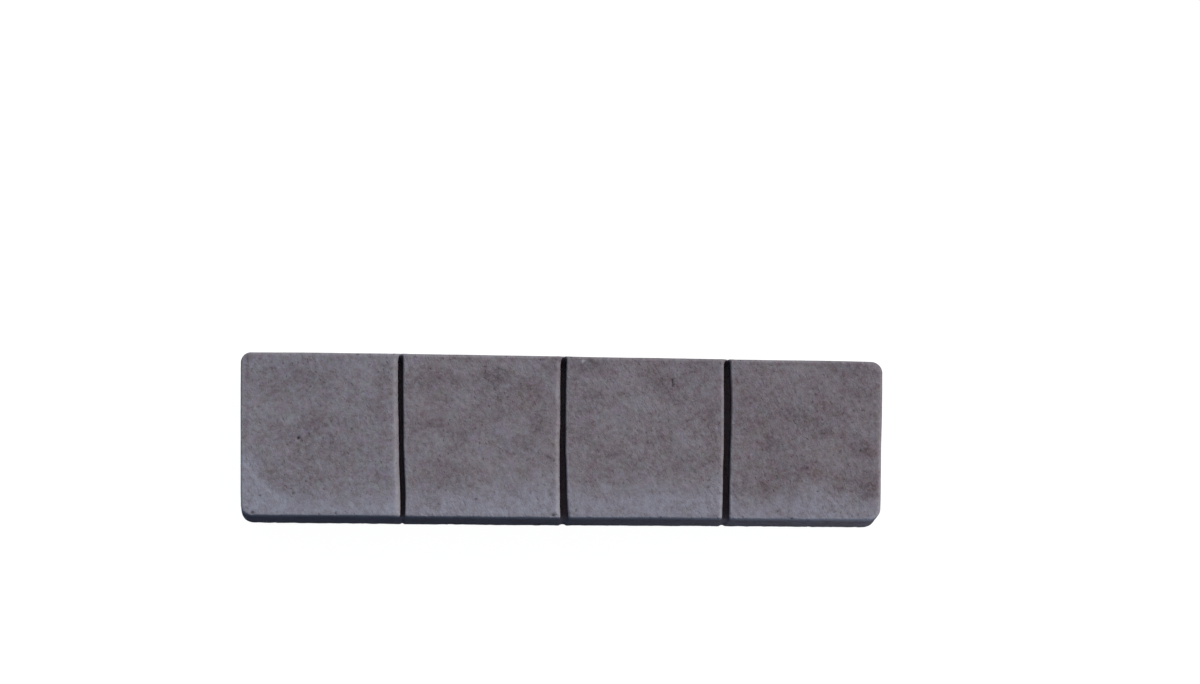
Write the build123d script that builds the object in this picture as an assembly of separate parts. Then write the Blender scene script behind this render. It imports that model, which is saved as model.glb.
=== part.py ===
from build123d import *
import math
import os

os.makedirs("parts", exist_ok=True)

# Concrete border paver, cast in one piece in an open mould.  The face is
# divided into a row of four nearly square cobbles by three narrow joint
# grooves.  Millimetres.  Origin at the centre of the bed face, +X along the
# length, +Y across it, +Z up out of the cobbled face.

# ---------------------------------------------------------------- dimensions
LENGTH = 400.0          # over the bed, end to end (four modules of 100)
WIDTH = 102.6           # over the bed, front to back
HEIGHT = 50.0           # bed face to cobbled face
DRAFT_DEG = 1.0         # mould draft: the walls lean in towards the face
CORNER_R = 8.0          # vertical corners in plan, at the bed
FACE_EDGE_R = 2.5       # rounded arris round the cobbled face
BED_EDGE_R = 0.8        # worn arris round the bed face

# joint grooves: centre line and slot width at the back (+Y) and the front (-Y)
GROOVES = [
    # x_back, x_front, w_back, w_front
    (-100.4, -98.4, 3.3, 3.3),
    (1.0, 2.1, 3.8, 5.2),
    (102.3, 101.9, 4.3, 4.5),
]
GROOVE_DEPTH = 13.0     # from the face to the root of the slot
GROOVE_DRAFT_DEG = 1.5  # each side of the slot closes towards its root
LIP_R = 2.4             # rounded lip each side of a groove's mouth
LIP_START_DEG = 84.0    # the lip's arc meets the face at 6 degrees

# each groove carries on down the front and back walls as a shallow notch
NOTCH_DEPTH = 0.8
NOTCH_HALF_MOUTH = 3.6

# ---------------------------------------------------------------- the block
plan = RectangleRounded(LENGTH, WIDTH, CORNER_R)
block = extrude(plan, HEIGHT, taper=DRAFT_DEG)
block = fillet(block.edges().group_by(Axis.Z)[-1], FACE_EDGE_R)
block = fillet(block.edges().group_by(Axis.Z)[0], BED_EDGE_R)


def slot_face(cx, width, y):
    """Section of a joint groove at one station, with flared, rounded lips."""
    a = math.radians(LIP_START_DEG)
    half = width / 2.0
    # centre of the left lip's arc, so that the arc starts on the face
    zc = HEIGHT - LIP_R * math.sin(a)
    xl = cx - half - LIP_R
    xr = cx + half + LIP_R
    run = zc - (HEIGHT - GROOVE_DEPTH)
    root_half = half - run * math.tan(math.radians(GROOVE_DRAFT_DEG))
    root_r = root_half
    z_root = HEIGHT - GROOVE_DEPTH + root_r

    def lip(xc, side, deg):
        t = math.radians(deg)
        return (xc + side * LIP_R * math.cos(t), zc + LIP_R * math.sin(t))

    l0 = lip(xl, 1, LIP_START_DEG)
    l1 = lip(xl, 1, LIP_START_DEG / 2.0)
    l2 = lip(xl, 1, 0.0)
    r0 = lip(xr, -1, LIP_START_DEG)
    r1 = lip(xr, -1, LIP_START_DEG / 2.0)
    r2 = lip(xr, -1, 0.0)
    b0 = (cx - root_half, z_root)
    b1 = (cx, z_root - root_r)
    b2 = (cx + root_half, z_root)
    t0 = (l0[0], HEIGHT + 4.0)
    t1 = (r0[0], HEIGHT + 4.0)
    edges = [
        Line(t0, l0),
        ThreePointArc(l0, l1, l2),
        Line(l2, b0),
        ThreePointArc(b0, b1, b2),
        Line(b2, r2),
        ThreePointArc(r2, r1, r0),
        Line(r0, t1),
        Line(t1, t0),
    ]
    station = Plane(origin=(0, y, 0), x_dir=(1, 0, 0), z_dir=(0, -1, 0))
    return station * make_face(edges)


def wall_notch(cx, side):
    """Shallow rounded notch down one wall, following the wall's draft."""
    y_bed = side * WIDTH / 2.0
    out = side * 6.0
    m = NOTCH_HALF_MOUTH
    d = NOTCH_DEPTH
    # mouth on the wall, root inside it
    p0 = (cx - m, y_bed)
    p1 = (cx - m * 0.42, y_bed - side * d * 0.62)
    p2 = (cx, y_bed - side * d)
    p3 = (cx + m * 0.42, y_bed - side * d * 0.62)
    p4 = (cx + m, y_bed)
    q0 = (cx - m, y_bed + out)
    q4 = (cx + m, y_bed + out)
    face = make_face([
        Line(q0, p0), Line(p0, p1), ThreePointArc(p1, p2, p3),
        Line(p3, p4), Line(p4, q4), Line(q4, q0),
    ])
    lean = math.tan(math.radians(DRAFT_DEG))
    low = Pos(0, side * lean * 5.0, -5.0) * face
    high = Pos(0, -side * lean * (HEIGHT + 5.0), HEIGHT + 5.0) * face
    return loft([low, high], ruled=True)


def at(y, back, front):
    """Value at y of something given at the back and the front edges."""
    t = (WIDTH / 2.0 - y) / WIDTH
    return back + (front - back) * t


Y_OUT = WIDTH / 2.0 + 8.0
paver = block
for x_back, x_front, w_back, w_front in GROOVES:
    ends = [
        slot_face(at(y, x_back, x_front), at(y, w_back, w_front), y)
        for y in (Y_OUT, -Y_OUT)
    ]
    paver -= loft(ends, ruled=True)
    paver -= wall_notch(x_back, 1)
    paver -= wall_notch(x_front, -1)

solid = paver.solids()[0]
print("solids", len(paver.solids()), "volume cm3", round(solid.volume / 1000.0, 2))
bb = solid.bounding_box()
print("box", [round(v, 3) for v in (*bb.min, *bb.max)])
export_step(solid, "parts/cobblestone_border_paver.step")
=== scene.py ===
import math

import bpy
import numpy as np
from mathutils import Matrix, Vector


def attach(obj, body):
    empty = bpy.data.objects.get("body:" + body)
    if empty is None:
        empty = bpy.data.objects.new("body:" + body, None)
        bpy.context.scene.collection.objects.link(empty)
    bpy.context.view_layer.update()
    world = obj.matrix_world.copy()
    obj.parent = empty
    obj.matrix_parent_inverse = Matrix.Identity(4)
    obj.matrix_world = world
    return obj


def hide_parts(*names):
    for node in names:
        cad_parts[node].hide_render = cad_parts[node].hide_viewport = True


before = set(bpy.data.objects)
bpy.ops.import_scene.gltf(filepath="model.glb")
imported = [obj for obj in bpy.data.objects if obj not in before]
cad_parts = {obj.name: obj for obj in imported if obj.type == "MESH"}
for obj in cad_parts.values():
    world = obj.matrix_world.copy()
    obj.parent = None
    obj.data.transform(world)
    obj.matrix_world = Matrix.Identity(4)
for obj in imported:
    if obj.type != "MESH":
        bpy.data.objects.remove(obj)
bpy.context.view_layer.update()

NODE = "cobblestone_border_paver"

# =====================================================================
# The casting's shape.  Millimetres, in the row frame: +X along the row of
# cobbles, +Y to the back wall, +Z out of the face, bed at z = 0.
# =====================================================================
TOP = 49.74            # face level
Z_ROOT = 37.2          # root of the grooves
Z_ROOT_BACK = 48.7     # the root runs up at the back wall
R_BED = 0.9            # arris round the bed
TAPER = math.tan(math.radians(1.3))

# walls: distance from the centre lines, at the bed and at the face.  The
# casting isn't quite straight.
FX = [-200, -180, -160, -134, -72, -10, 52, 114, 152, 189, 200]
FRONT_BED = [50.98, 51.20, 51.20, 51.20, 51.20, 51.12, 50.80, 50.50, 50.42, 50.25, 50.10]
FRONT_TOP = [50.90, 51.12, 50.96, 50.78, 50.90, 50.84, 50.22, 50.26, 50.14, 49.96, 49.85]
BX = [-200, -192, -169, -144, -123, -98, -73, -46, -13, 2, 27, 56, 96, 111, 136, 161, 191, 200]
BACK_TOP = [50.50, 50.56, 50.78, 50.80, 50.76, 50.68, 50.52, 50.42, 50.20, 50.10, 49.86, 49.72, 49.48, 49.30, 49.27, 49.22, 48.90, 48.80]
LY = [-51, -37, 0, 51]
LEFT_TOP = [198.10, 198.57, 199.03, 199.60]
RY = [-51, -33, -5, 10, 30, 51]
RIGHT_TOP = [198.00, 198.45, 198.62, 198.98, 199.24, 199.36]

# joints: centre line and slot width, back (+Y) to front (-Y), and the worn
# bevel along the slot's left side
JY = np.array([51.0, 43.0, 33.0, 23.0, 13.0, 3.0, -7.0, -17.0, -27.0, -37.0, -47.0, -51.0])
JX = [
    np.array([-100.4, -100.45, -100.4, -100.25, -99.95, -99.7, -99.55, -99.25, -98.65, -98.2, -98.15, -98.25]),
    np.array([1.0, 0.75, 0.55, 0.6, 0.6, 0.6, 0.45, 0.8, 1.1, 1.25, 1.75, 2.1]),
    np.array([102.3, 102.55, 102.8, 103.0, 102.9, 102.85, 102.65, 102.4, 102.25, 102.15, 102.0, 101.9]),
]
JW = [
    np.array([3.15, 3.3, 3.4, 3.35, 3.25, 3.2, 3.15, 3.3, 3.45, 3.35, 3.2, 3.25]),
    np.array([3.95, 3.85, 3.65, 3.55, 3.55, 3.7, 3.9, 4.25, 4.45, 4.45, 5.05, 5.35]),
    np.array([4.05, 4.25, 4.65, 4.8, 4.55, 4.45, 4.25, 4.4, 4.35, 4.4, 4.6, 4.7]),
]
BEVEL = [3.4, 2.7, 1.7]
BEVEL_SIN, BEVEL_COS = math.sin(math.radians(23)), math.cos(math.radians(23))


# ---------------------------------------------------------------- noise
class Noise:
    """Seeded gradient noise, in about [-1, 1]."""

    def __init__(self, seed):
        rng = np.random.default_rng(seed)
        self.perm = np.concatenate([rng.permutation(256)] * 3).astype(np.int32)
        g = rng.normal(size=(256, 3))
        self.grad = (g / np.linalg.norm(g, axis=1)[:, None]).astype(np.float32)

    def at(self, p):
        p = np.asarray(p, dtype=np.float32)
        cell = np.floor(p).astype(np.int32)
        f = p - cell
        u = f * f * f * (f * (f * 6 - 15) + 10)
        cell &= 255
        out = np.zeros(len(p), np.float32)
        for dx in (0, 1):
            wx = u[:, 0] if dx else 1 - u[:, 0]
            for dy in (0, 1):
                wy = u[:, 1] if dy else 1 - u[:, 1]
                for dz in (0, 1):
                    wz = u[:, 2] if dz else 1 - u[:, 2]
                    h = self.perm[self.perm[self.perm[(cell[:, 0] + dx) & 255] + ((cell[:, 1] + dy) & 255)] + ((cell[:, 2] + dz) & 255)]
                    g = self.grad[h]
                    out += wx * wy * wz * (
                        g[:, 0] * (f[:, 0] - dx) + g[:, 1] * (f[:, 1] - dy) + g[:, 2] * (f[:, 2] - dz))
        return out * 1.6

    def fbm(self, p, size, octaves=1, gain=0.5):
        q = np.asarray(p, dtype=np.float32) / size
        out = np.zeros(len(q), np.float32)
        amp, total = 1.0, 0.0
        for k in range(octaves):
            out += amp * self.at(q * (2.0 ** k) + 17.3 * k)
            total += amp * amp
            amp *= gain
        return out / math.sqrt(total)


def smooth(a, b, x):
    t = np.clip((x - a) / (b - a), 0.0, 1.0)
    return t * t * (3 - 2 * t)


# ---------------------------------------------------------------- solid
def round_and(a, b, r):
    """Intersection of two solids' distances, with a rounded arris."""
    return np.minimum(np.maximum(a, b), -r) + np.sqrt(np.maximum(a + r, 0) ** 2 + np.maximum(b + r, 0) ** 2)


def crease_and(a, b, k):
    """Intersection of two solids' distances, with a soft crease."""
    h = np.maximum(k - np.abs(a - b), 0) / k
    return np.maximum(a, b) + h * h * k * 0.25


def soft_or(a, b, k):
    """Union of two solids' distances, with a filleted inner corner."""
    h = np.clip(0.5 + 0.5 * (b - a) / k, 0, 1)
    return b * (1 - h) + a * h - k * h * (1 - h)


def outline(x, y, z):
    """Distance to the strip's plan outline at height z."""
    t = np.clip(z / TOP, 0, 1)
    front = np.interp(x, FX, FRONT_BED) * (1 - t) + np.interp(x, FX, FRONT_TOP) * t
    back = np.interp(x, BX, BACK_TOP)
    back = np.minimum(back + 0.45, 50.98) * (1 - t) + back * t
    left = np.interp(y, LY, LEFT_TOP) + 0.42 * (1 - t)
    right = np.interp(y, RY, RIGHT_TOP) + 0.60 * (1 - t)
    r = 8.0 - 0.9 * t - 0.7 * t * ((x < 0) & (y > 0)) - 1.0 * ((x < 0) & (y < 0))
    qx = np.abs(x - (right - left) / 2) - ((right + left) / 2 - r)
    qy = np.abs(y - (back - front) / 2) - ((back + front) / 2 - r)
    return np.sqrt(np.maximum(qx, 0) ** 2 + np.maximum(qy, 0) ** 2) + np.minimum(np.maximum(qx, qy), 0) - r


def joint_at(x, y):
    """For the nearest joint: signed distance across it, half its width, its bevel's width."""
    s = np.full(x.shape, 1e3)
    half = np.ones(x.shape)
    bevel = np.ones(x.shape)
    for k in range(3):
        t = x - np.interp(y, JY[::-1], JX[k][::-1])
        near = np.abs(t) < np.abs(s)
        s = np.where(near, t, s)
        half = np.where(near, np.interp(y, JY[::-1], JW[k][::-1]) / 2, half)
        wavy = 0.22 * np.sin(0.23 * y + 2.1 * k) + 0.16 * np.sin(0.61 * y + 4.0 * k)
        bevel = np.where(near, BEVEL[k] + wavy, bevel)
    return s, half, bevel


def root(y):
    return Z_ROOT + (Z_ROOT_BACK - Z_ROOT) * smooth(45.2, 50.3, y)


def body(x, y, z):
    """Signed distance to the casting, before its relief."""
    s, half, bevel = joint_at(x, y)
    # each joint has a rounded end at the back, more so on its left
    short = np.interp(x, BX, BACK_TOP) - y
    u, v = np.clip(1 - (short - 0.6) / 4.0, 0, 1), np.clip(1 - (short - 0.6) / 2.0, 0, 1)
    end = np.where(s < 0, 1 - 0.9 * (1 - np.sqrt(1 - u * u)), 1 - 0.5 * (1 - np.sqrt(1 - v * v)))
    gap = np.abs(s) - half * end + np.maximum(TOP - z, 0) * TAPER      # positive in the stone
    plan = outline(x, y, z)
    side = round_and(plan, -gap, np.where(y > 0, 0.3, 1.15))
    by_joint = smooth(-1.5, 1.5, -gap - plan)
    r = 1.7 + 0.25 * smooth(-36, -44, y) - 0.3 * smooth(-190, -196, x) + 1.6 * smooth(186, 196, x)
    r = r + (1.05 - r) * by_joint
    slant = (z - TOP) * BEVEL_COS + (s + half + bevel) * BEVEL_SIN
    slant = slant - 0.5 * smooth(46.5, 50.0, y)
    face = crease_and(z - TOP, np.where(s < 0, slant, -50.0), 0.3)
    upper = round_and(side, face, r)
    # below its root the joint is only a shallow notch in each long wall
    plug = np.maximum(np.maximum(plan + np.where(y > 0, 0.08, 0.85), z - root(y)), np.abs(s) - half - 2.5)
    return round_and(soft_or(upper, plug, np.where(y > 0, 0.4, 1.3)), -z, R_BED)


# ---------------------------------------------------------------- mesh
STEP = 0.86


def lattice():
    lo = np.array([-202.0, -53.6, -1.6])
    n = np.array([int(404.0 / STEP) + 2, int(107.2 / STEP) + 2, int(53.4 / STEP) + 2])
    axes = [lo[i] + STEP * np.arange(n[i]) for i in range(3)]
    grid = np.empty(n, np.float32)
    yy, zz = np.meshgrid(axes[1], axes[2], indexing="ij")
    for i in range(0, n[0], 24):
        xs = axes[0][i:i + 24]
        shape = (len(xs),) + yy.shape
        x = np.broadcast_to(xs[:, None, None], shape).ravel()
        y = np.broadcast_to(yy[None], shape).ravel()
        z = np.broadcast_to(zz[None], shape).ravel()
        grid[i:i + 24] = body(x, y, z).reshape(shape)
    return lo, grid


def surface(lo, grid):
    """Quads over the zero surface: one point in each cell that it crosses."""
    inside = grid < 0
    count = np.zeros(tuple(s - 1 for s in grid.shape), np.int8)
    offs = [(a, b, c) for a in (0, 1) for b in (0, 1) for c in (0, 1)]
    view = lambda arr, o: arr[o[0]:arr.shape[0] - 1 + o[0], o[1]:arr.shape[1] - 1 + o[1], o[2]:arr.shape[2] - 1 + o[2]]
    for o in offs:
        count += view(inside, o)
    live = (count > 0) & (count < 8)
    cell = np.argwhere(live).astype(np.int32)
    index = np.full(live.shape, -1, np.int32)
    index[live] = np.arange(len(cell))
    val = {o: grid[cell[:, 0] + o[0], cell[:, 1] + o[1], cell[:, 2] + o[2]] for o in offs}
    total, hits = np.zeros((len(cell), 3)), np.zeros(len(cell))
    for a in offs:
        for axis in range(3):
            if a[axis]:
                continue
            b = tuple(1 if i == axis else a[i] for i in range(3))
            cross = (val[a] < 0) != (val[b] < 0)
            t = np.where(cross, val[a] / np.where(cross, val[a] - val[b], 1), 0)
            p = np.array(a, float)[None] + np.zeros((len(cell), 3))
            p[:, axis] += t
            total[cross] += p[cross]
            hits[cross] += 1
    verts = lo + STEP * (cell + total / hits[:, None])
    quads = []
    for axis in range(3):
        u, v = [(1, 2), (2, 0), (0, 1)][axis]
        lo_sl, hi_sl = [slice(1, -1)] * 3, [slice(1, -1)] * 3
        lo_sl[axis], hi_sl[axis] = slice(0, -1), slice(1, None)
        a, b = inside[tuple(lo_sl)], inside[tuple(hi_sl)]
        for first, flip in ((a & ~b, False), (~a & b, True)):
            at = np.argwhere(first)
            off = np.ones(3, int)
            off[axis] = 0
            at = at + off
            ring = []
            for du, dv in ((-1, -1), (0, -1), (0, 0), (-1, 0)):
                c = at.copy()
                c[:, u] += du
                c[:, v] += dv
                ring.append(index[c[:, 0], c[:, 1], c[:, 2]])
            q = np.stack(ring, 1)
            quads.append(q[:, ::-1] if flip else q)
    return verts, np.concatenate(quads), cell


def slope(p, e=0.15):
    g = np.empty_like(p)
    for i in range(3):
        d = np.zeros(3)
        d[i] = e
        a, b = p + d, p - d
        g[:, i] = (body(a[:, 0], a[:, 1], a[:, 2]) - body(b[:, 0], b[:, 1], b[:, 2])) / (2 * e)
    return g


def settle(p):
    """Brings the points onto the surface, and returns their outward normals."""
    for _ in range(3):
        g = slope(p)
        d = body(p[:, 0], p[:, 1], p[:, 2])
        g2 = np.maximum((g * g).sum(1), 0.05)
        step = -(d / g2)[:, None] * g
        n = np.linalg.norm(step, axis=1)
        p = p + step * np.minimum(1, 0.6 / np.maximum(n, 1e-9))[:, None]
    g = slope(p)
    return p, g / np.maximum(np.linalg.norm(g, axis=1), 1e-9)[:, None]


# ---------------------------------------------------------------- relief
# holes and nicks that the face shows: x, y, radius, depth
FACE_HOLES = [
    (-163.2, -2.7, 1.15, 1.6), (-158.8, 32.3, 0.8, 0.35), (-156.2, 29.2, 0.8, 0.35), (-143.9, -13.8, 0.8, 0.4),
    (-130.5, 3.2, 0.9, 0.4), (-186.4, -38.6, 0.9, 0.45), (-166.0, -37.0, 1.0, 0.4), (-106.2, -3.4, 0.8, 0.35),
    (-48.2, 43.0, 1.0, 0.5), (-50.9, -4.7, 0.9, 0.4), (-53.0, -39.6, 0.9, 0.4), (-21.5, -15.0, 0.9, 0.45),
    (-33.7, 24.2, 0.8, 0.35), (-9.1, -12.4, 0.7, 0.4), (-6.9, -13.9, 0.7, 0.4), (-4.8, -15.5, 0.7, 0.4),
    (68.1, 36.2, 0.85, 1.1), (68.2, 35.2, 0.85, 1.2), (68.4, 34.2, 0.85, 1.2), (68.6, 33.1, 0.85, 1.1), (68.7, 32.1, 0.8, 0.9),
    (59.8, 13.4, 0.8, 0.4), (60.4, 9.6, 0.9, 0.4),
    (77.9, 10.4, 0.9, 0.45), (46.8, 4.4, 0.8, 0.35), (38.3, -28.8, 0.9, 0.4), (9.2, -45.8, 0.9, 0.45),
    (96.7, -21.9, 0.8, 0.4), (91.2, -26.3, 0.8, 0.4), (91.0, -30.6, 0.9, 0.4), (157.8, -14.3, 1.0, 0.5),
    (152.2, -18.1, 1.2, 0.5), (185.2, -7.1, 1.0, 0.6), (172.7, -7.9, 0.9, 0.45), (159.1, -32.4, 0.9, 0.45),
    (174.0, -30.4, 0.9, 0.45), (181.4, 17.9, 0.9, 0.45), (186.4, 17.9, 0.9, 0.45),
    (-191.2, -49.5, 1.3, 0.8), (-139.8, -49.4, 1.0, 0.5), (-4.9, -49.2, 1.4, 0.8),
]


def holes(rng):
    """Pin holes and blow holes: centre, radius and depth."""
    found = [(x, y, TOP, r, d) for x, y, r, d in FACE_HOLES]
    for _ in range(60):                                    # pin holes over the face
        found.append((rng.uniform(-196, 196), rng.uniform(-47, 47), TOP, rng.uniform(0.45, 0.8), rng.uniform(0.10, 0.26)))
    for side in (-1, 1):                                   # blow holes against the mould's walls
        for _ in range(120):
            r = float(np.clip(rng.lognormal(0.12, 0.45), 0.7, 3.0))
            found.append((rng.uniform(-194, 194), side * 50.6, rng.uniform(3, 46), r, r * rng.uniform(0.3, 0.6)))
        for _ in range(30):
            r = float(np.clip(rng.lognormal(0.12, 0.45), 0.7, 2.6))
            found.append((side * 199.2, rng.uniform(-44, 44), rng.uniform(3, 46), r, r * rng.uniform(0.3, 0.6)))
    for _ in range(40):                                    # voids in the struck-off bed
        r = float(np.clip(rng.lognormal(1.0, 0.4), 1.8, 5.5))
        found.append((rng.uniform(-192, 192), rng.uniform(-44, 44), 0.0, r, r * rng.uniform(0.2, 0.4)))
    for _ in range(34):                                    # nicks along the arrises
        side = rng.choice([-1, 1])
        z = rng.choice([TOP - 0.4, 0.3, 0.3])
        found.append((rng.uniform(-192, 192), side * (50.3 if z > 9 else 50.8), z, rng.uniform(0.7, 1.5), rng.uniform(0.12, 0.35 if z > 9 else 0.6)))
    return found


def relief(p, n, rng):
    """How far each point moves along its normal, and what it lies in."""
    x, y, z = p.T
    s, half, bevel = joint_at(x, y)
    plan = outline(x, y, np.full_like(z, TOP))
    face = smooth(0.55, 0.95, n[:, 2])
    bed = smooth(0.6, 0.95, -n[:, 2])
    slot = smooth(1.6, 0.6, np.abs(s) - half) * smooth(TOP - 1.2, TOP - 4.0, z) * smooth(Z_ROOT - 4, Z_ROOT - 2, z) * smooth(-0.4, -1.6, plan)
    wall = np.clip(1 - face - bed, 0, 1)
    big, mid, fine = Noise(11), Noise(23), Noise(37)
    rough = 0.55 + 0.65 * smooth(-0.5, 0.6, Noise(61).fbm(p, 34, 2)) * smooth(-46, -34, y)
    out = 0.10 * big.fbm(p, 46, 2) * (0.5 + 0.5 * face)
    # pimples, drawn out a little across the face
    turn = np.stack([0.42 * x - 0.91 * y, 1.12 * (0.91 * x + 0.42 * y), z], 1)
    out += face * (0.030 * mid.fbm(p, 13, 2) + rough * (0.062 * fine.fbm(turn, 5.0, 2, 0.6) + 0.058 * fine.fbm(turn + 91.0, 2.4, 1)))
    # walls: the mould's slight waves, and a coarser skin low down where the mix was ragged
    low = smooth(26, 6, z)
    out += wall * (1 - slot) * (0.08 * mid.fbm(p, 24, 2) + (0.03 + 0.06 * low) * fine.fbm(p, 5.0, 3, 0.7))
    out += slot * 0.16 * mid.fbm(p, 6.0, 2)
    # bed: struck off by hand along the strip
    q = p * np.array([0.22, 1.0, 1.0])
    out += bed * (0.20 * big.fbm(q + 40, 7.0, 3, 0.6) + 0.12 * fine.fbm(p, 3.5, 2) - 0.25)
    # ragged arris where the bed was struck off
    out += smooth(3.2, 0.4, z) * (1 - bed) * 0.18 * fine.fbm(p, 4.5, 2)
    # arris of the face: softly uneven
    arris = smooth(0.9, 0.7, n[:, 2]) * smooth(0.05, 0.35, n[:, 2]) * (z > 40)
    out += arris * 0.10 * mid.fbm(p, 6.0, 2)

    deep = np.zeros(len(p))
    wob = 1 + 0.28 * Noise(51).fbm(p, 1.7, 1)
    order = np.argsort(x)
    xs = x[order]
    for hx, hy, hz, r, d in holes(rng):
        reach = r * 1.5
        a, b = np.searchsorted(xs, [hx - reach, hx + reach])
        ids = order[a:b]
        q = p[ids] - np.array([hx, hy, hz])
        near = (q * q).sum(1) < (reach * 1.6 + 1) ** 2
        ids, q = ids[near], q[near]
        if not len(ids):
            continue
        # distance within the surface, so that a hole keeps its width on a curved arris
        axial = (q * n[ids]).sum(1)
        t = np.sqrt(np.maximum((q * q).sum(1) - axial ** 2, 0)) / (r * wob[ids])
        cut = smooth(1.15, 0.35, t) * (np.abs(axial) < 2.5)
        out[ids] -= d * cut
        # painted shade in each hole, more for deeper holes in the face
        deep[ids] = np.maximum(deep[ids], cut * (min(0.8 + 0.6 * d, 1.6) if hz > TOP - 1 else 0.7))

    # worn, paler arrises round each stone, with painted highlight: the bevel beside each joint, lit from the right, is
    # painted paler and fades towards the slot
    lateral = round_and(plan, -(np.abs(s) - half), 1.0)
    by_bevel = (s < 0) & (-(np.abs(s) - half) > plan)
    width = np.where(by_bevel, bevel + 0.3, 1.9)
    wear_and_highlight = smooth(-1.0, -0.55, lateral / width) * smooth(TOP - 3.2, TOP - 2.0, z)
    wear_and_highlight = np.where(by_bevel, 1.18 * wear_and_highlight * (1 - 0.5 * smooth(-0.6, -0.1, lateral / width)), wear_and_highlight)
    wear_and_highlight = wear_and_highlight * (1 + 0.45 * smooth(-15, -45, y) * (by_bevel & (x < -50)))
    wear_and_highlight = wear_and_highlight * (0.75 + 0.35 * Noise(71).fbm(p, 5.0, 2)) * np.interp(y, [-50, -35, 10, 50], [1.6, 1.35, 0.95, 0.85])
    # painted light: the shaded arris at the left end is painted paler
    wear_and_highlight = wear_and_highlight * (1 + 0.45 * smooth(-197.4, -198.4, x)) * (1 - 0.6 * smooth(-198.2, -197.4, x) * smooth(-190, -196, x))
    # a scuff near the front left corner, and a light speck
    a, b = np.array([-197.0, -19.0]), np.array([-175.5, -42.0])
    d = b - a
    w = np.clip(((x - a[0]) * d[0] + (y - a[1]) * d[1]) / (d @ d), 0, 1)
    off = np.hypot(x - a[0] - w * d[0] - 0.6 * np.sin(9 * w), y - a[1] - w * d[1])
    scuff = 0.75 * np.exp(-(off / 0.7) ** 2) * np.clip(0.6 + 1.0 * Noise(84).fbm(p, 5.0, 2), 0, 1) * face
    scuff = np.maximum(scuff, 1.2 * np.exp(-((x - 12.9) ** 2 + (y - 47.1) ** 2) / 0.8 ** 2) * face)
    marks = {"hole_shade": deep, "slot": slot, "face": face, "wear_and_highlight": np.clip(wear_and_highlight, 0, 2), "scuff": scuff}
    marks.update(stains_and_wall_light(p, face))
    return out, marks


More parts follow.
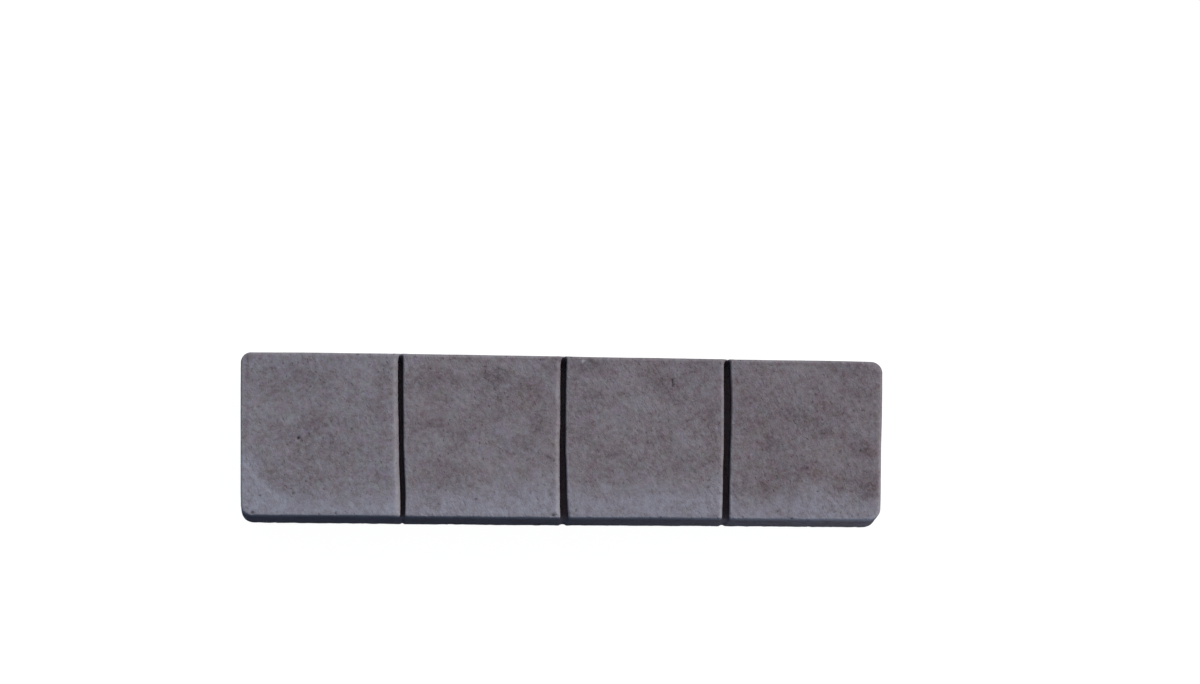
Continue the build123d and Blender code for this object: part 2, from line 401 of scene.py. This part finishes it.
# ---------------------------------------------------------------- stains, and painted light on the front wall
# darker (negative) and paler patches of the face: x, y, half widths, amount
PATCHES = [
    (-153, 6, 4.6, 4.2, -1.0), (-159, -6, 5.0, 4.2, -0.5), (-160, -38, 4.6, 2.9, -0.5), (-112, 20, 3.8, 9.4, -0.5),
    (-134, -15, 12.5, 8.3, -0.25), (-159, 38, 7.9, 5.8, -0.55), (-180, 42, 8.3, 4.2, -0.35), (-112, 0, 4.2, 6.2, -0.35),
    (-151, -30, 10.4, 6.2, -0.3), (-141, 41, 6.2, 4.2, -0.25), (-191, 7, 6.2, 12.5, 0.35), (-137, 31, 5.2, 5.2, 0.3),
    (-120, 33, 4.2, 5.2, 0.2), (-78, 35, 8.8, 2.8, -1.0), (-42, 36, 5.4, 4.6, -1.2), (-9, 43, 6.2, 4.2, -0.6),
    (-78, 7, 5.0, 3.8, -0.8), (-61, 1, 2.9, 4.6, -0.6), (-47, 13, 8.3, 2.9, -0.4), (-15, 10, 4.6, 5.4, -0.8),
    (-92, 7, 2.9, 6.2, -0.6), (-22, -5, 6.2, 2.9, -0.6), (-9, -13, 4.2, 2.5, -0.6), (-70, -19, 5.0, 4.2, -0.5),
    (-78, -31, 8.3, 3.8, -0.5), (-24, 30, 4.2, 6.2, -0.4), (-28, 15, 8.3, 2.9, -0.4), (-57, -23, 10.4, 3.3, -0.3),
    (-79, -2, 2.9, 2.5, 0.6), (-57, 25, 6.2, 3.3, 0.5), (-91, 25, 3.8, 8.3, 0.4), (-89, 44, 6.2, 2.1, 0.4),
    (-24, 42, 4.2, 4.2, 0.3), (-18, -28, 8.3, 4.2, 0.3), (16, 44, 10.0, 2.5, -0.9), (86, 44, 9.6, 2.5, -0.9),
    (61, 33, 5.0, 4.2, -0.7), (18, 25, 5.4, 5.0, -0.6), (93, 15, 4.6, 4.6, -0.6), (70, -17, 12.5, 3.8, -0.5),
    (24, -23, 5.8, 2.9, -0.4), (78, 23, 8.3, 2.9, -0.5), (74, 33, 6.2, 4.2, -0.4), (26, -15, 6.2, 4.2, -0.2),
    (47, -17, 6.2, 2.9, -0.3), (43, 38, 4.6, 2.9, 0.5), (55, 18, 10.4, 5.4, 0.5), (36, 4, 10.4, 8.3, 0.35),
    (72, 6, 8.3, 6.2, 0.3), (95, -27, 5.0, 6.2, 0.4), (172, 42, 5.4, 4.6, -0.8), (159, 32, 4.2, 3.8, -0.6),
    (143, 14, 7.1, 4.6, -0.7), (116, 25, 5.0, 7.5, -0.7), (130, -4, 6.2, 4.2, -0.5), (141, -11, 5.4, 3.8, -0.5),
    (150, -20, 5.0, 3.3, -1.1), (186, -7, 4.6, 5.4, -0.8), (189, -31, 5.4, 5.0, -1.2), (128, -32, 5.0, 4.2, -0.8),
    (134, -21, 5.0, 2.9, -0.6), (168, 16, 6.2, 6.2, -0.3), (122, 11, 4.2, 4.2, -0.4), (180, 28, 4.2, 4.2, -0.3),
    (113, -27, 2.9, 5.0, -0.3), (143, -31, 4.2, 5.0, -0.6), (170, -26, 5.0, 4.2, -0.4), (184, 13, 4.2, 3.3, 0.5),
    (164, -12, 4.2, 5.4, 0.5), (158, -33, 5.4, 4.2, 0.6), (112, -4, 3.3, 4.2, 0.35), (147, 40, 5.4, 4.2, 0.3),
    (192, -10, 3.0, 14.0, -0.35), (152, 4, 30.0, 16.0, -0.08), (-150, 28, 34.0, 10.0, -0.28), (50, 22, 34.0, 14.0, -0.20),
    (-50, 43.5, 22.0, 2.6, 0.4), (-149, 1, 15.0, 12.0, -0.30), (50, -23, 34.0, 8.0, 0.24),
]
# how far back the pale dusty strip along the front reaches
DUST_X = [-200, -194, -186, -172, -150, -100, -75, -20, -2, 5, 40, 88, 98, 106, 130, 155, 170, 200]
DUST_Y = [-8, -12, -25, -37, -38, -38, -34, -31, -29, -31, -31, -30, -25, -36, -37, -30, -35, -38]


def stains_and_wall_light(p, face):
    x, y, z = p.T
    warp = np.stack([Noise(81).fbm(p, 9.0, 3), Noise(82).fbm(p, 9.0, 3)], 1) * 3.2
    u, v = x + warp[:, 0], y + warp[:, 1]
    tone = np.zeros(len(p))
    for px, py, rx, ry, a in PATCHES:
        tone += a * np.exp(-0.5 * (((u - px) / rx) ** 2 + ((v - py) / ry) ** 2))
    ragged = 1 + 0.7 * Noise(83).fbm(p, 3.2, 2, 0.7)
    tone = tone * np.clip(ragged, 0.2, 2)
    # darker lines just inside the back and the left edges
    worn = 0.6 + 0.8 * Noise(87).fbm(p, 11.0, 3, 0.6)
    tone -= 0.36 * smooth(44.5, 46.5, y) * smooth(50.0, 48.4, y) * smooth(-120, -70, x) * np.clip(worn, 0, 1.5)
    tone -= 0.85 * np.exp(-((x + 195.5) / 1.2) ** 2) * smooth(-22, -8, y) * np.clip(worn + 0.2, 0, 1.5)
    tone *= smooth(46, 49, z)
    # elsewhere the walls and the bed are mottled at random
    tone += (1 - face) * 0.7 * Noise(85).fbm(p, 16.0, 4, 0.6)
    # the stones were filled from slightly different mixes
    shade = np.interp(x, [-200, -102, -97, -2, 4, 98, 106, 200], [0.06, 0.08, 0.58, 0.58, 0.72, 0.72, 0.86, 0.86])
    edge_y = np.interp(x, DUST_X, DUST_Y)
    dust = smooth(-9.0, 13.5, edge_y - v + 2.4 * Noise(86).fbm(p, 7.0, 3)) * smooth(46, 49, z)
    # painted light: the front wall is painted paler towards its arris, standing in for sky light on its upper part (the
    # pale mark)
    pale = smooth(35, 48, z) * smooth(-47.5, -49.5, y) * (1 - smooth(0.75, 0.9, face))
    return {"tone": tone, "shade": shade, "dust": dust, "pale": pale * (0.85 + 0.3 * Noise(88).fbm(p, 8.0, 3))}


# ---------------------------------------------------------------- thinning
def thin(p, cell, n, slot):
    """Joins points in blocks where the surface is plain, to keep the mesh within its budget."""
    x, y, z = p.T
    key = np.arange(len(p), dtype=np.int64)
    c = cell.astype(np.int64)
    plan = outline(x, y, np.zeros_like(z))
    s, half, _ = joint_at(x, y)
    bed = (n[:, 2] < -0.95) & (plan < -3.2) & (z < 1.2)
    clear = np.abs(s) > half + 4.5
    plain = (z > 2.2) & (z < TOP - 3.8)
    long_wall = (np.abs(n[:, 1]) > 0.99) & plain & (np.abs(x) < 189) & clear & (np.abs(y) > 47)
    end_wall = (np.abs(n[:, 0]) > 0.99) & plain & (np.abs(y) < 39) & (np.abs(x) > 190)
    in_slot = (slot > 0.5) & (np.abs(n[:, 0]) > 0.97) & (z < TOP - 4.6) & (z > Z_ROOT + 2.4) & (np.abs(y) < 43)

    def block(mask, tag, a, ka, b, kb, extra=0):
        pick = extra[mask] if not np.isscalar(extra) else extra
        key[mask] = (1 << 40) * (1 + tag) + ((c[mask, a] // ka) * 4096 + c[mask, b] // kb) * 16 + pick

    block(bed, 1, 0, 6, 1, 6)
    block(long_wall, 2, 0, 2, 2, 2, (y > 0).astype(np.int64))
    block(end_wall, 3, 1, 2, 2, 2, (x > 0).astype(np.int64))
    which = (x > -50).astype(np.int64) + (x > 50).astype(np.int64)
    block(in_slot, 4, 1, 2, 2, 3, which * 2 + (n[:, 0] > 0))
    uniq, inv = np.unique(key, return_inverse=True)
    return inv, len(uniq)


def rebuild(quads, inv):
    q = inv[quads]
    same = [(q[:, i] == q[:, (i + 1) % 4]) for i in range(4)]
    many = same[0].astype(int) + same[1] + same[2] + same[3]
    crossed = (q[:, 0] == q[:, 2]) | (q[:, 1] == q[:, 3])
    quad = q[(many == 0) & ~crossed]
    tri = [np.delete(q[same[i] & (many == 1) & ~crossed], i, axis=1) for i in range(4)]
    return quad, np.concatenate(tri)


# ---------------------------------------------------------------- make it
def make_paver():
    lo, grid = lattice()
    p, quads, cell = surface(lo, grid)
    p, n = settle(p)
    move, marks = relief(p, n, np.random.default_rng(4))
    q = p + n * move[:, None]
    q[:, 0] = np.clip(q[:, 0], -199.93, 199.93)
    q[:, 1] = np.clip(q[:, 1], -51.24, 51.24)
    q[:, 2] = np.clip(q[:, 2], 0.02, 49.95)
    inv, count = thin(p, cell, n, marks["slot"])

    def joined(a):
        a = np.asarray(a, float)
        s = np.zeros((count,) + a.shape[1:])
        np.add.at(s, inv, a)
        m = np.bincount(inv, minlength=count)
        return s / (m[:, None] if a.ndim > 1 else m)

    q = joined(q)
    marks = {k: joined(v) for k, v in marks.items()}
    quad, tri = rebuild(quads, inv)
    used = np.zeros(count, bool)
    used[quad.ravel()] = True
    used[tri.ravel()] = True
    remap = np.cumsum(used) - 1
    q = q[used]
    marks = {k: v[used] for k, v in marks.items()}
    quad, tri = remap[quad], remap[tri]

    me = bpy.data.meshes.new("paver")
    me.vertices.add(len(q))
    me.vertices.foreach_set("co", (q / 1000.0).astype(np.float32).ravel())
    loops = np.concatenate([quad.ravel(), tri.ravel()]).astype(np.int32)
    starts = np.concatenate([np.arange(len(quad)) * 4, len(quad) * 4 + np.arange(len(tri)) * 3]).astype(np.int32)
    me.loops.add(len(loops))
    me.loops.foreach_set("vertex_index", loops)
    me.polygons.add(len(starts))
    me.polygons.foreach_set("loop_start", starts)
    me.update(calc_edges=True)
    me.validate(verbose=False)
    me.polygons.foreach_set("use_smooth", np.ones(len(me.polygons), bool))
    for k, v in marks.items():
        if len(v) == len(me.vertices):
            at = me.attributes.new(k, "FLOAT", "POINT")
            at.data.foreach_set("value", v.astype(np.float32))
    print("paver mesh:", len(me.vertices), "points,", 2 * len(quad) + len(tri), "triangles")
    ob = bpy.data.objects.new("paver_casting", me)
    bpy.context.collection.objects.link(ob)
    return ob


paver = make_paver()


# =====================================================================
# Concrete
# =====================================================================
T_CLOUD, T_BLOTCH, T_SAND = 0.24, 0.80, 1.25
RAMP = [
    (0.00, (0.055, 0.0435, 0.0465)),
    (0.38, (0.1095, 0.0965, 0.107)),
    (0.62, (0.136, 0.129, 0.147)),
    (1.00, (0.1655, 0.1665, 0.1935)),
]
STAIN = (0.60, 0.535, 0.55)
SHADE = (0.902, 0.828, 0.796)
PALE = (0.176, 0.176, 0.200)
DUST = (0.178, 0.185, 0.222)
WALL_PAINTED_LIGHT = (0.215, 0.222, 0.262)
WORN_AND_HIGHLIT = (0.222, 0.212, 0.230)
SCUFFED = (0.25, 0.26, 0.30)
STAIN_GAIN = 0.60
FLECK, FLECK_DARK = 0.62, (0.054, 0.039, 0.042)
GRAIN, GRAIN_PALE = 0.22, (0.25, 0.24, 0.26)
HUE, HUE_FINE, HUE_ROSE = 0.024, 0.050, 0.062
BUMP, BUMP_DEPTH = 1.0, 0.0010


def concrete():
    m = bpy.data.materials.new("cast_concrete_surface")
    m.use_nodes = True
    t = m.node_tree
    t.nodes.clear()
    add = t.nodes.new

    def link(a, b):
        t.links.new(a, b)

    out = add("ShaderNodeOutputMaterial")
    bsdf = add("ShaderNodeBsdfPrincipled")
    link(bsdf.outputs[0], out.inputs[0])
    bsdf.inputs["Specular IOR Level"].default_value = 0.25
    coord = add("ShaderNodeTexCoord").outputs["Object"]

    def attr(name):
        a = add("ShaderNodeAttribute")
        a.attribute_name = name
        return a.outputs["Fac"]

    def noise(scale, detail=2.0, rough=0.5, off=(0, 0, 0), stretch=(1, 1, 1), turn=0.0):
        mp = add("ShaderNodeMapping")
        mp.vector_type = "TEXTURE"                          # turned first, then stretched
        mp.inputs["Location"].default_value = off
        mp.inputs["Rotation"].default_value = (0, 0, turn)
        mp.inputs["Scale"].default_value = tuple(1 / v for v in stretch)
        link(coord, mp.inputs["Vector"])
        nz = add("ShaderNodeTexNoise")
        nz.inputs["Scale"].default_value = scale
        nz.inputs["Detail"].default_value = detail
        nz.inputs["Roughness"].default_value = rough
        link(mp.outputs[0], nz.inputs["Vector"])
        return nz.outputs["Fac"]

    def calc(op, a, b=None, c=None, clamp=False):
        n = add("ShaderNodeMath")
        n.operation = op
        n.use_clamp = clamp
        for i, v in enumerate((a, b, c)):
            if v is None:
                continue
            if isinstance(v, (int, float)):
                n.inputs[i].default_value = v
            else:
                link(v, n.inputs[i])
        return n.outputs[0]

    def around(fac, gain, base):
        return calc("MULTIPLY_ADD", calc("SUBTRACT", fac, 0.5), gain, base)

    def ramp(fac, stops):
        r = add("ShaderNodeValToRGB")
        e = r.color_ramp.elements
        while len(e) > 1:
            e.remove(e[-1])
        e[0].position, e[0].color = stops[0][0], (*stops[0][1], 1)
        for pos, col in stops[1:]:
            e.new(pos).color = (*col, 1)
        link(fac, r.inputs[0])
        return r.outputs[0]

    def mix(fac, a, b, kind="MIX"):
        n = add("ShaderNodeMix")
        n.data_type = "RGBA"
        n.blend_type = kind
        n.clamp_factor = True
        if isinstance(fac, (int, float)):
            n.inputs["Factor"].default_value = fac
        else:
            link(fac, n.inputs["Factor"])
        for name, v in (("A", a), ("B", b)):
            sock = [s for s in n.inputs if s.name == name and s.type == "RGBA"][0]
            if isinstance(v, tuple):
                sock.default_value = (*v, 1)
            else:
                link(v, sock)
        return [s for s in n.outputs if s.type == "RGBA"][0]

    hole_shade, slot, wear_and_highlight, stain, dust = attr("hole_shade"), attr("slot"), attr("wear_and_highlight"), attr("tone"), attr("dust")
    shade, wall_painted_light, scuff = attr("shade"), attr("pale"), attr("scuff")

    # tone of the cement, from clouds down to grains of sand
    blotch = noise(72.0, 3.0, 0.75, off=(8.2, 2.1, 5.0), stretch=(0.78, 1.18, 1.0))
    sand = noise(330.0, 3.0, 0.8, off=(1.2, 7.7, 3.0))
    tone = around(noise(16.0, 2.0, 0.6, off=(3.1, 1.7, 0.4)), T_CLOUD, 0.5)
    tone = around(blotch, calc("MULTIPLY_ADD", shade, 0.30 * T_BLOTCH, 0.71 * T_BLOTCH), tone)
    tone = around(sand, T_SAND, tone)
    colour = ramp(tone, RAMP)
    # the cement's hue drifts between brown and blue
    for drift, h in ((noise(48.0, 2.0, 0.6, off=(5.5, 3.3, 7.0)), HUE), (noise(230.0, 3.0, 0.7, off=(2.5, 1.3, 4.0)), HUE_FINE)):
        colour = mix(1.0, colour, ramp(drift, [(0.2, (1 + h, 1.0, 1 - h)), (0.8, (1 - h, 1.0, 1 + h))]), "MULTIPLY")
    # and, in small patches, between greenish and rosy
    h = HUE_ROSE
    drift = noise(140.0, 3.0, 0.8, off=(7.5, 6.3, 1.0))
    colour = mix(1.0, colour, ramp(drift, [(0.2, (1 + h, 1 - h, 1 + h)), (0.8, (1 - h, 1 + h, 1 - h))]), "MULTIPLY")
    # stains lie in the surface's fine pores, so they break up into specks
    speck = calc("MAXIMUM", around(noise(300.0, 3.0, 0.85, off=(3.0, 8.0, 6.0)), 5.0, 1.0), 0.1)
    colour = mix(calc("MULTIPLY", calc("MULTIPLY", stain, speck), -STAIN_GAIN, clamp=True), colour, STAIN, "MULTIPLY")
    colour = mix(calc("MULTIPLY", calc("MULTIPLY", stain, speck), STAIN_GAIN, clamp=True), colour, PALE)
    colour = mix(calc("MULTIPLY", shade, 0.6), colour, SHADE, "MULTIPLY")

    # pale dust towards the front, and worn arrises with painted highlight on the bevels beside the joints
    streak = noise(120.0, 3.0, 0.7, off=(4.0, 3.0, 9.0))
    colour = mix(calc("MULTIPLY", dust, around(sand, 1.0, around(streak, 1.4, 0.52)), clamp=True), colour, DUST)
    colour = mix(calc("MULTIPLY", shade, 0.4), colour, SHADE, "MULTIPLY")
    colour = mix(calc("MULTIPLY", scuff, 0.8), colour, SCUFFED)
    # painted light: the front wall's upper part is made paler where sky light would fall
    colour = mix(calc("MULTIPLY", wall_painted_light, around(streak, 1.4, 0.80), clamp=True), colour, WALL_PAINTED_LIGHT)
    colour = mix(calc("MULTIPLY", wear_and_highlight, around(streak, 0.8, 0.38), clamp=True), colour, WORN_AND_HIGHLIT)

    # dark flecks, drawn out a little across the face, and paler grains
    fleck = noise(440.0, 1.5, 0.5, off=(2.0, 9.0, 1.0), stretch=(0.8, 1.15, 1.0), turn=math.radians(-62))
    patchy = noise(55.0, 2.0, 0.6, off=(6.0, 6.0, 2.0))
    limit = calc("MULTIPLY_ADD", patchy, -0.22, 0.765)
    dark = calc("MULTIPLY", calc("SUBTRACT", fleck, limit), 13.0, clamp=True)
    dark = calc("MULTIPLY", dark, calc("MULTIPLY_ADD", dust, -0.20, 0.68))
    colour = mix(calc("MULTIPLY", dark, FLECK), colour, FLECK_DARK)
    grain = noise(760.0, 1.0, 0.5, off=(5.0, 1.0, 8.0))
    pale = calc("MULTIPLY", calc("SUBTRACT", grain, 0.685), 12.0, clamp=True)
    colour = mix(calc("MULTIPLY", pale, GRAIN), colour, GRAIN_PALE)

    # painted shade: holes and grooves are painted darker
    colour = mix(calc("MULTIPLY", hole_shade, 0.70, clamp=True), colour, (0.032, 0.025, 0.027))
    colour = mix(calc("MULTIPLY", slot, 0.50), colour, (0.085, 0.052, 0.058))
    link(colour, bsdf.inputs["Base Color"])

    link(around(blotch, -0.18, 0.90), bsdf.inputs["Roughness"])

    # grain of the surface: crisper in places, smoother under the dust
    crisp = calc("MULTIPLY_ADD", dust, -0.20, around(noise(26.0, 2.0, 0.5, off=(7.0, 2.0, 6.0)), 1.6, 1.0))
    crisp = calc("MULTIPLY", crisp, calc("MULTIPLY_ADD", shade, 0.40, 0.70))
    pimple = noise(265.0, 3.0, 0.64, off=(9.0, 5.0, 4.0), stretch=(0.90, 1.10, 1.0), turn=math.radians(-70))
    height = calc("MULTIPLY", pimple, crisp)
    # a few hairline wrinkles running down to the right
    wrinkle = noise(150.0, 2.0, 0.6, off=(7.0, 4.0, 1.0), stretch=(0.55, 1.2, 1.0), turn=math.radians(-58))
    crease = calc("MAXIMUM", calc("MULTIPLY_ADD", calc("ABSOLUTE", calc("SUBTRACT", wrinkle, 0.5)), -26.0, 1.0), 0.0)
    height = calc("MULTIPLY_ADD", calc("MULTIPLY", crease, crisp), -0.08, height)
    height = calc("MULTIPLY_ADD", noise(1300.0, 2.0, 0.6, off=(4, 4, 4)), 0.08, height)
    height = calc("MULTIPLY_ADD", dark, -0.28, height)
    height = calc("MULTIPLY_ADD", pale, 0.10, height)
    bump = add("ShaderNodeBump")
    bump.inputs["Strength"].default_value = BUMP
    bump.inputs["Distance"].default_value = BUMP_DEPTH
    link(height, bump.inputs["Height"])
    link(bump.outputs[0], bsdf.inputs["Normal"])
    return m


paver.data.materials.append(concrete())
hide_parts(NODE)
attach(paver, "root")


# =====================================================================
# Floor, light and camera
# =====================================================================
def floor():
    me = bpy.data.meshes.new("floor")
    r, n = 14.0, 96
    ring = [(r * math.cos(2 * math.pi * i / n), r * math.sin(2 * math.pi * i / n), 0.0) for i in range(n)]
    me.from_pydata(ring, [], [list(range(n))])
    ob = bpy.data.objects.new("floor", me)
    bpy.context.collection.objects.link(ob)
    m = bpy.data.materials.new("floor_white")
    m.use_nodes = True
    bsdf = m.node_tree.nodes["Principled BSDF"]
    bsdf.inputs["Base Color"].default_value = (0.10, 0.10, 0.10, 1)
    bsdf.inputs["Roughness"].default_value = 1.0
    bsdf.inputs["Specular IOR Level"].default_value = 0.0
    bsdf.inputs["Emission Color"].default_value = (1, 1, 1, 1)
    bsdf.inputs["Emission Strength"].default_value = 0.965
    me.materials.append(m)
    ob.visible_diffuse = False
    ob.visible_glossy = False
    return ob


floor()


def studio():
    """A white backdrop; the light itself is brightest overhead and to the back right, and blue in the shade."""
    world = bpy.data.worlds.new("studio")
    bpy.context.scene.world = world
    world.use_nodes = True
    t = world.node_tree
    t.nodes.clear()
    out = t.nodes.new("ShaderNodeOutputWorld")
    pick = t.nodes.new("ShaderNodeMixShader")
    path = t.nodes.new("ShaderNodeLightPath")
    white = t.nodes.new("ShaderNodeBackground")
    soft = t.nodes.new("ShaderNodeBackground")
    coord = t.nodes.new("ShaderNodeTexCoord")
    dot = t.nodes.new("ShaderNodeVectorMath")
    dot.operation = "DOT_PRODUCT"
    dot.inputs[1].default_value = Vector((0.22, 0.52, 0.82)).normalized()
    half = t.nodes.new("ShaderNodeMath")
    half.operation = "MULTIPLY_ADD"
    half.inputs[1].default_value = 0.5
    half.inputs[2].default_value = 0.5
    ramp = t.nodes.new("ShaderNodeValToRGB")
    e = ramp.color_ramp.elements
    e[0].position, e[0].color = 0.0, (0.035, 0.050, 0.090, 1)
    e[1].position, e[1].color = 1.0, (0.66, 0.67, 0.72, 1)
    e.new(0.45).color = (0.060, 0.080, 0.135, 1)
    e.new(0.68).color = (0.27, 0.31, 0.40, 1)
    t.links.new(coord.outputs["Generated"], dot.inputs[0])
    t.links.new(dot.outputs["Value"], half.inputs[0])
    t.links.new(half.outputs[0], ramp.inputs[0])
    # a bluer, dimmer window to the left
    side = t.nodes.new("ShaderNodeVectorMath")
    side.operation = "DOT_PRODUCT"
    side.inputs[1].default_value = Vector((-0.85, 0.10, 0.50)).normalized()
    t.links.new(coord.outputs["Generated"], side.inputs[0])
    window = t.nodes.new("ShaderNodeValToRGB")
    w = window.color_ramp.elements
    w[0].position, w[0].color = 0.55, (0, 0, 0, 1)
    w[1].position, w[1].color = 1.0, (0.38, 0.50, 0.68, 1)
    t.links.new(side.outputs["Value"], window.inputs[0])
    both = t.nodes.new("ShaderNodeVectorMath")
    both.operation = "ADD"
    t.links.new(ramp.outputs[0], both.inputs[0])
    t.links.new(window.outputs[0], both.inputs[1])
    t.links.new(both.outputs[0], soft.inputs[0])
    white.inputs[0].default_value = (1, 1, 1, 1)
    t.links.new(path.outputs["Is Camera Ray"], pick.inputs[0])
    t.links.new(soft.outputs[0], pick.inputs[1])
    t.links.new(white.outputs[0], pick.inputs[2])
    t.links.new(pick.outputs[0], out.inputs[0])


studio()


def sun(name, azimuth, elevation, strength, colour, angle):
    """A soft distant light; its azimuth counts from +X towards +Y."""
    a, e = math.radians(azimuth), math.radians(elevation)
    data = bpy.data.lights.new(name, "SUN")
    data.energy = strength
    data.color = colour
    data.angle = math.radians(angle)
    ob = bpy.data.objects.new(name, data)
    towards = Vector((math.cos(a) * math.cos(e), math.sin(a) * math.cos(e), math.sin(e)))
    ob.rotation_mode = "QUATERNION"
    ob.rotation_quaternion = towards.to_track_quat("Z", "Y")
    bpy.context.collection.objects.link(ob)
    return ob


sun("key", 36, 43, 3.9, (1.0, 0.965, 0.93), 12)


def panel(name, place, aim, size, watts, colour):
    """A soft square light that the camera doesn't see."""
    data = bpy.data.lights.new(name, "AREA")
    data.shape = "SQUARE"
    data.size = size
    data.energy = watts
    data.color = colour
    ob = bpy.data.objects.new(name, data)
    ob.location = place
    ob.rotation_mode = "QUATERNION"
    ob.rotation_quaternion = (Vector(place) - Vector(aim)).to_track_quat("Z", "Y")
    ob.visible_camera = False
    bpy.context.collection.objects.link(ob)
    return ob


panel("fill", (0.31, -0.21, 0.055), (0.16, -0.05, 0.030), 0.10, 0.24, (0.86, 0.92, 1.0))

cam_data = bpy.data.cameras.new("camera")
cam_data.sensor_fit = "HORIZONTAL"
cam_data.sensor_width = 36.0
cam_data.lens = 193.53
cam_data.clip_start, cam_data.clip_end = 0.5, 60.0
cam = bpy.data.objects.new("camera", cam_data)
right = Vector((0.99938325, 0.00691206, 0.03442867))
up = Vector((-0.01096501, 0.99283833, 0.1189614))
back = Vector((-0.03335983, -0.11926555, 0.99230179))
cam.rotation_mode = "QUATERNION"
cam.rotation_quaternion = Matrix((right, up, back)).transposed().to_quaternion()
cam.location = (-0.1105, -0.41885, 4.0270172)
bpy.context.collection.objects.link(cam)
bpy.context.scene.camera = cam

bpy.context.scene.view_settings.view_transform = "Standard"
bpy.context.scene.view_settings.look = "None"
bpy.context.scene.view_settings.exposure = 0.0
bpy.context.scene.view_settings.gamma = 1.0

bpy.context.view_layer.update()
